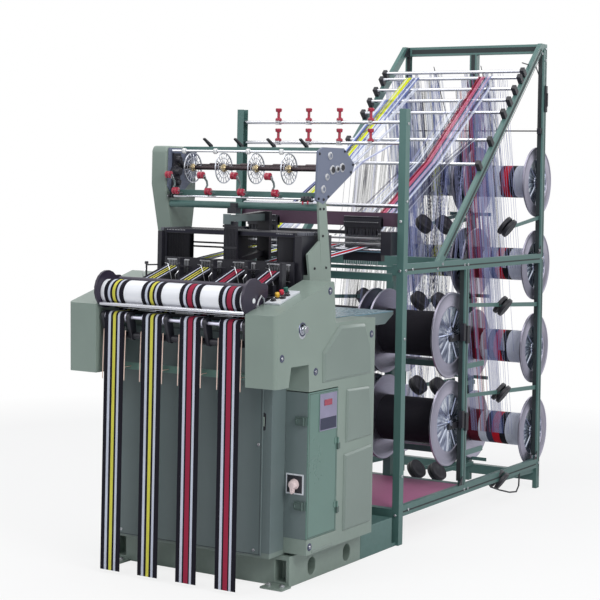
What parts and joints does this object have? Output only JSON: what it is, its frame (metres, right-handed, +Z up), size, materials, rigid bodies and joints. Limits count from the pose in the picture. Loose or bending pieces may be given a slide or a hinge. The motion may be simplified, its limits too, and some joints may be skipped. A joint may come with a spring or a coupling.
{
  "type": "four-head narrow fabric needle loom with warp creel",
  "caption": "Narrow-fabric power loom with hanging striped tapes, take-up rollers, feed head, heald harness and a rear creel of warp beams.",
  "frame": {"origin": "on the floor under the front of the base casting, on the machine centre line", "axes": "+X to the operator's right, +Y from the front of the machine back to the creel, +Z up"},
  "size_m": [0.9982, 2.9545, 2.315],
  "materials": {
    "sage": "semi-gloss sage green paint",
    "teal": "semi-gloss teal green paint",
    "blue_grey": "satin blue grey paint",
    "slate": "satin slate paint",
    "black": "satin black",
    "black_plastic": "matt black",
    "chrome": "polished",
    "steel": "turned",
    "roller": "satin silver",
    "aluminium": "turned",
    "red": "gloss red",
    "yellow": "gloss yellow",
    "green": "gloss green",
    "pale": "pale grey",
    "tape": "woven tape",
    "yarn": "warp yarn",
    "maroon": "painted board"
  },
  "bodies": {
    "machine_frame": {"base_casting": "sage", "sub_base": "teal", "foot_plates": "sage", "body_frame": "blue_grey", "front_cover": "sage", "side_cover_right": "sage", "side_cover_left": "sage", "electrical_cabinet": "sage", "button_plate": "pale", "takeup_guards": "black", "delivery_arms": "black", "takeup_rods": "chrome", "woven_tapes": "tape", "weaving_bed": "black", "harness_guides": "black", "head_plate_right": "blue_grey", "head_leg_right": "sage", "head_cover_left": "sage", "head_bars": "teal", "head_rods": "chrome", "tensioners": "red", "creel_posts": "teal", "creel_rails": "teal", "floor_board": "maroon", "creel_rods": "chrome", "creel_brackets": "black", "weft_guides": "red", "stop_motion": "black", "brake_levers": "black", "drive_motor": "black", "warp_sheets": "yarn"},
    "hand_shaft": {"hand_shaft": "steel"},
    "cabinet_door": {"cabinet_door": "sage"},
    "switch_knob": {"switch_knob": "pale"},
    "button_yellow": {"button_yellow": "yellow"},
    "button_red": {"button_red": "red"},
    "button_green": {"button_green": "green"},
    "button_black_1": {"button_black_1": "black_plastic"},
    "button_black_2": {"button_black_2": "black_plastic"},
    "button_black_3": {"button_black_3": "black_plastic"},
    "takeup_roller": {"takeup_roller": "roller"},
    "press_roller": {"press_roller": "steel"},
    "delivery_roller": {"delivery_roller": "steel"},
    "reed_batten": {"reed_batten": "black"},
    "heald_frames_odd": {"heald_frames_odd": "black"},
    "heald_frames_even": {"heald_frames_even": "black"},
    "feed_shaft": {"feed_shaft": "aluminium"},
    "idler_shaft": {"idler_shaft": "black"},
    "warp_beam_rear_1_right": {"warp_beam_rear_1_right": "aluminium"},
    "warp_beam_rear_1_left": {"warp_beam_rear_1_left": "aluminium"},
    "warp_beam_rear_2_right": {"warp_beam_rear_2_right": "aluminium"},
    "warp_beam_rear_2_left": {"warp_beam_rear_2_left": "aluminium"},
    "warp_beam_rear_3_right": {"warp_beam_rear_3_right": "aluminium"},
    "warp_beam_rear_3_left": {"warp_beam_rear_3_left": "aluminium"},
    "warp_beam_rear_4_right": {"warp_beam_rear_4_right": "aluminium"},
    "warp_beam_rear_4_left": {"warp_beam_rear_4_left": "aluminium"},
    "warp_beam_front_1_right": {"warp_beam_front_1_right": "aluminium"},
    "warp_beam_front_1_left": {"warp_beam_front_1_left": "aluminium"},
    "warp_beam_front_2_right": {"warp_beam_front_2_right": "aluminium"},
    "warp_beam_front_2_left": {"warp_beam_front_2_left": "aluminium"}
  },
  "joints": [
    {"name": "hand_shaft_turn", "type": "hinge", "parent": "machine_frame", "child": "hand_shaft", "pos_m": [0.49, -0.089, 1.012], "axis": [1, 0, 0], "continuous": true},
    {"name": "cabinet_door_turn", "type": "hinge", "parent": "machine_frame", "child": "cabinet_door", "pos_m": [0.4993, 0.197, 0.48], "axis": [0, 0, 1], "range_deg": [0, 95]},
    {"name": "switch_knob_turn", "type": "hinge", "parent": "machine_frame", "child": "switch_knob", "pos_m": [0.4385, -0.043, 0.403], "axis": [0, 1, 0], "range_deg": [0, 90]},
    {"name": "button_yellow_slide", "type": "slide", "parent": "machine_frame", "child": "button_yellow", "axis": [0, 0.2588, -0.9659], "range_m": [0, 0.004], "stiffness_N_per_m": 300, "springref_m": -0.001},
    {"name": "button_red_slide", "type": "slide", "parent": "machine_frame", "child": "button_red", "axis": [0, 0.2588, -0.9659], "range_m": [0, 0.004], "stiffness_N_per_m": 300, "springref_m": -0.001},
    {"name": "button_green_slide", "type": "slide", "parent": "machine_frame", "child": "button_green", "axis": [0, 0.2588, -0.9659], "range_m": [0, 0.004], "stiffness_N_per_m": 300, "springref_m": -0.001},
    {"name": "button_black_1_slide", "type": "slide", "parent": "machine_frame", "child": "button_black_1", "axis": [0, 0.2588, -0.9659], "range_m": [0, 0.004], "stiffness_N_per_m": 300, "springref_m": -0.001},
    {"name": "button_black_2_slide", "type": "slide", "parent": "machine_frame", "child": "button_black_2", "axis": [0, 0.2588, -0.9659], "range_m": [0, 0.004], "stiffness_N_per_m": 300, "springref_m": -0.001},
    {"name": "button_black_3_slide", "type": "slide", "parent": "machine_frame", "child": "button_black_3", "axis": [0, 0.2588, -0.9659], "range_m": [0, 0.004], "stiffness_N_per_m": 300, "springref_m": -0.001},
    {"name": "takeup_roller_turn", "type": "hinge", "parent": "machine_frame", "child": "takeup_roller", "pos_m": [0, -0.223, 1.122], "axis": [1, 0, 0], "continuous": true},
    {"name": "press_roller_turn", "type": "hinge", "parent": "machine_frame", "child": "press_roller", "pos_m": [0, -0.145, 1.16], "axis": [1, 0, 0], "continuous": true},
    {"name": "delivery_roller_turn", "type": "hinge", "parent": "machine_frame", "child": "delivery_roller", "pos_m": [0, -0.244, 1.026], "axis": [1, 0, 0], "continuous": true},
    {"name": "feed_shaft_turn", "type": "hinge", "parent": "machine_frame", "child": "feed_shaft", "pos_m": [0, 0.33, 1.63], "axis": [1, 0, 0], "continuous": true},
    {"name": "idler_shaft_turn", "type": "hinge", "parent": "machine_frame", "child": "idler_shaft", "pos_m": [0, 0.41, 1.64], "axis": [1, 0, 0], "continuous": true},
    {"name": "reed_batten_turn", "type": "hinge", "parent": "machine_frame", "child": "reed_batten", "pos_m": [0, 0.132, 1.062], "axis": [1, 0, 0], "range_deg": [0, 9]},
    {"name": "heald_frames_odd_slide", "type": "slide", "parent": "machine_frame", "child": "heald_frames_odd", "axis": [0, 0, 1], "range_m": [-0.022, 0.022]},
    {"name": "heald_frames_even_slide", "type": "slide", "parent": "machine_frame", "child": "heald_frames_even", "axis": [0, 0, 1], "range_m": [-0.022, 0.022]},
    {"name": "warp_beam_rear_1_right_turn", "type": "hinge", "parent": "machine_frame", "child": "warp_beam_rear_1_right", "pos_m": [0.202, 2.476, 1.595], "axis": [1, 0, 0], "continuous": true},
    {"name": "warp_beam_rear_1_left_turn", "type": "hinge", "parent": "machine_frame", "child": "warp_beam_rear_1_left", "pos_m": [-0.202, 2.476, 1.595], "axis": [1, 0, 0], "continuous": true},
    {"name": "warp_beam_rear_2_right_turn", "type": "hinge", "parent": "machine_frame", "child": "warp_beam_rear_2_right", "pos_m": [0.202, 2.476, 1.162], "axis": [1, 0, 0], "continuous": true},
    {"name": "warp_beam_rear_2_left_turn", "type": "hinge", "parent": "machine_frame", "child": "warp_beam_rear_2_left", "pos_m": [-0.202, 2.476, 1.162], "axis": [1, 0, 0], "continuous": true},
    {"name": "warp_beam_rear_3_right_turn", "type": "hinge", "parent": "machine_frame", "child": "warp_beam_rear_3_right", "pos_m": [0.202, 2.476, 0.729], "axis": [1, 0, 0], "continuous": true},
    {"name": "warp_beam_rear_3_left_turn", "type": "hinge", "parent": "machine_frame", "child": "warp_beam_rear_3_left", "pos_m": [-0.202, 2.476, 0.729], "axis": [1, 0, 0], "continuous": true},
    {"name": "warp_beam_rear_4_right_turn", "type": "hinge", "parent": "machine_frame", "child": "warp_beam_rear_4_right", "pos_m": [0.202, 2.476, 0.296], "axis": [1, 0, 0], "continuous": true},
    {"name": "warp_beam_rear_4_left_turn", "type": "hinge", "parent": "machine_frame", "child": "warp_beam_rear_4_left", "pos_m": [-0.202, 2.476, 0.296], "axis": [1, 0, 0], "continuous": true},
    {"name": "warp_beam_front_1_right_turn", "type": "hinge", "parent": "machine_frame", "child": "warp_beam_front_1_right", "pos_m": [0.202, 1.475, 0.868], "axis": [1, 0, 0], "continuous": true},
    {"name": "warp_beam_front_1_left_turn", "type": "hinge", "parent": "machine_frame", "child": "warp_beam_front_1_left", "pos_m": [-0.202, 1.475, 0.868], "axis": [1, 0, 0], "continuous": true},
    {"name": "warp_beam_front_2_right_turn", "type": "hinge", "parent": "machine_frame", "child": "warp_beam_front_2_right", "pos_m": [0.202, 1.475, 0.455], "axis": [1, 0, 0], "continuous": true},
    {"name": "warp_beam_front_2_left_turn", "type": "hinge", "parent": "machine_frame", "child": "warp_beam_front_2_left", "pos_m": [-0.202, 1.475, 0.455], "axis": [1, 0, 0], "continuous": true}
  ],
  "couplings": [
    {"joint": "press_roller_turn", "follows": "takeup_roller_turn", "ratio": -2.5},
    {"joint": "delivery_roller_turn", "follows": "takeup_roller_turn", "ratio": 2.7778},
    {"joint": "feed_shaft_turn", "follows": "takeup_roller_turn", "ratio": 0.75758},
    {"joint": "idler_shaft_turn", "follows": "takeup_roller_turn", "ratio": 0.75758},
    {"joint": "heald_frames_even_slide", "follows": "heald_frames_odd_slide", "ratio": -1}
  ]
}
